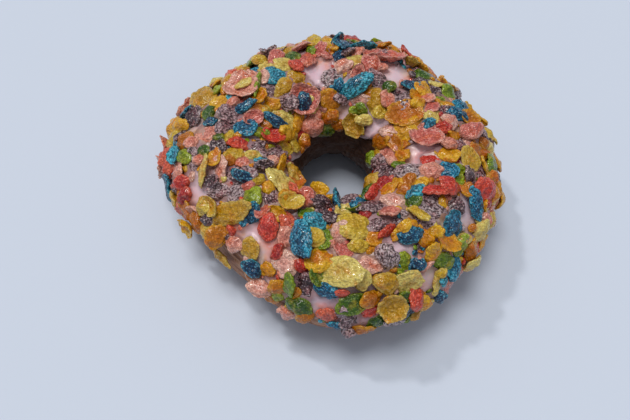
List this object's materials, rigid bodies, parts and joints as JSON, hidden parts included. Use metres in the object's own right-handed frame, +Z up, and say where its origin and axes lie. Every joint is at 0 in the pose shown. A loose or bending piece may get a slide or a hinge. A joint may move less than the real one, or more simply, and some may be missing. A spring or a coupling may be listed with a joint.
{
  "type": "cereal topped glazed doughnut",
  "caption": "Ring doughnut of fried dough with lilac glaze over its upper half, covered with crisp fruit-coloured rice-cereal flakes.",
  "frame": {"origin": "centre of the bounding box, on the plane the doughnut lies on", "axes": "+Z up through the hole, -Y towards the viewer of the picture, +X to their right"},
  "size_m": [0.1099, 0.1083, 0.0378],
  "materials": {
    "dough": "fried crust, slightly oily",
    "icing": "set sugar glaze, wet gloss",
    "cereal": "blistered, sugary, half glossy"
  },
  "bodies": {
    "root": {"dough": "dough", "icing": "icing"}
  },
  "joints": []
}
